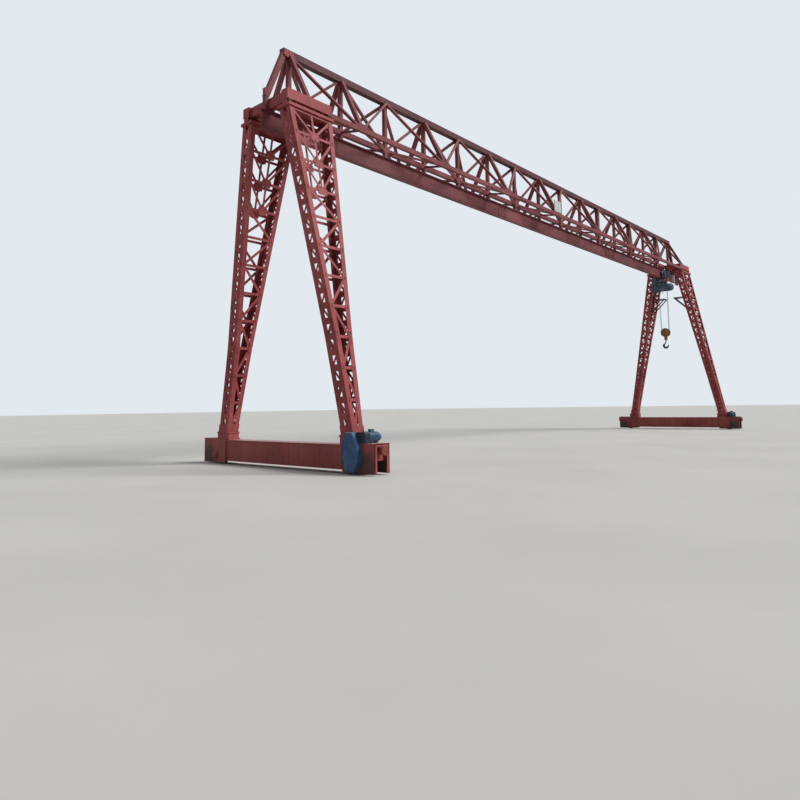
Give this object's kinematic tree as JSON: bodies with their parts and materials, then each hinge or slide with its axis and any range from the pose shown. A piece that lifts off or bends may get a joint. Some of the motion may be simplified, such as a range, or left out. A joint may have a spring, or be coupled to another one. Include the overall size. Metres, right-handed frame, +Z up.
{
  "type": "single girder gantry crane",
  "caption": "Lattice single girder gantry crane on A-frame truss legs, with ground beams on rail wheels, a travelling rope hoist under the track beam and a swivelling hook.",
  "frame": {"origin": "midway between the two rails and the two legs of each frame, at the height of the wheel rims' lowest points", "axes": "+X along the girder towards the frame where the hoist is parked, +Y along the rails, +Z up"},
  "size_m": [31.8, 7.22, 11.6299],
  "materials": {
    "red_paint": "weathered gloss paint with rust and dirt",
    "blue_paint": "weathered gloss paint",
    "ochre_paint": "worn satin paint",
    "slate_paint": "weathered satin paint",
    "grey_motor": "dusty satin paint",
    "cast_wheel": "worn, with a bright tread",
    "forged_hook": "dark forged",
    "wire_rope": "greased wire",
    "cable_sheath": "matt",
    "buffer_pad": "matt, painted over"
  },
  "bodies": {
    "gantry": {"top_chord": "red_paint", "centre_truss": "red_paint", "side_chords": "red_paint", "head_frames": "red_paint", "end_braces": "red_paint", "front_side_bracing": "red_paint", "back_side_bracing": "red_paint", "front_deck_bracing": "red_paint", "back_deck_bracing": "red_paint", "leg_caps": "red_paint", "leg_feet": "red_paint", "ground_beams": "red_paint", "wheel_housings": "red_paint", "platform_brackets": "red_paint", "cable_carrier": "red_paint", "track_beam": "red_paint", "track_stops": "red_paint", "near_front_leg_chords": "red_paint", "near_front_leg_wide_faces": "red_paint", "near_front_leg_narrow_faces": "red_paint", "near_back_leg_chords": "red_paint", "near_back_leg_wide_faces": "red_paint", "near_back_leg_narrow_faces": "red_paint", "far_front_leg_chords": "red_paint", "far_front_leg_wide_faces": "red_paint", "far_front_leg_narrow_faces": "red_paint", "far_back_leg_chords": "red_paint", "far_back_leg_wide_faces": "red_paint", "far_back_leg_narrow_faces": "red_paint", "rail_buffers": "buffer_pad", "drive_covers": "blue_paint", "drive_gearboxes": "grey_motor", "drive_motors": "blue_paint", "festoon_cable": "cable_sheath"},
    "hoist": {"trolley_carriage": "slate_paint", "hoist_drum": "slate_paint", "hoist_motor": "slate_paint", "hoist_gearbox": "slate_paint", "hoist_control_box": "slate_paint", "trolley_travel_motor": "red_paint", "hoist_ropes": "wire_rope"},
    "block": {"hook_block": "ochre_paint"},
    "hook": {"lifting_hook": "forged_hook"},
    "near_front_wheel": {"near_front_wheel": "cast_wheel"},
    "near_back_wheel": {"near_back_wheel": "cast_wheel"},
    "far_front_wheel": {"far_front_wheel": "cast_wheel"},
    "far_back_wheel": {"far_back_wheel": "cast_wheel"}
  },
  "joints": [
    {"name": "near_front_wheel_roll", "type": "hinge", "parent": "gantry", "child": "near_front_wheel", "pos_m": [-15, -2.9, 0.272], "axis": [1, 0, 0], "continuous": true},
    {"name": "near_back_wheel_roll", "type": "hinge", "parent": "gantry", "child": "near_back_wheel", "pos_m": [-15, 2.9, 0.272], "axis": [1, 0, 0], "continuous": true},
    {"name": "far_front_wheel_roll", "type": "hinge", "parent": "gantry", "child": "far_front_wheel", "pos_m": [15, -2.9, 0.272], "axis": [1, 0, 0], "continuous": true},
    {"name": "far_back_wheel_roll", "type": "hinge", "parent": "gantry", "child": "far_back_wheel", "pos_m": [15, 2.9, 0.272], "axis": [1, 0, 0], "continuous": true},
    {"name": "trolley_travel", "type": "slide", "parent": "gantry", "child": "hoist", "axis": [1, 0, 0], "range_m": [-28.14, 0.44]},
    {"name": "hook_lift", "type": "slide", "parent": "hoist", "child": "block", "axis": [0, 0, 1], "range_m": [-4.6, 1.9], "deforming": ["hoist_ropes"]},
    {"name": "hook_swivel", "type": "hinge", "parent": "block", "child": "hook", "pos_m": [13.85, 0, 5.01], "axis": [0, 0, 1], "continuous": true}
  ]
}
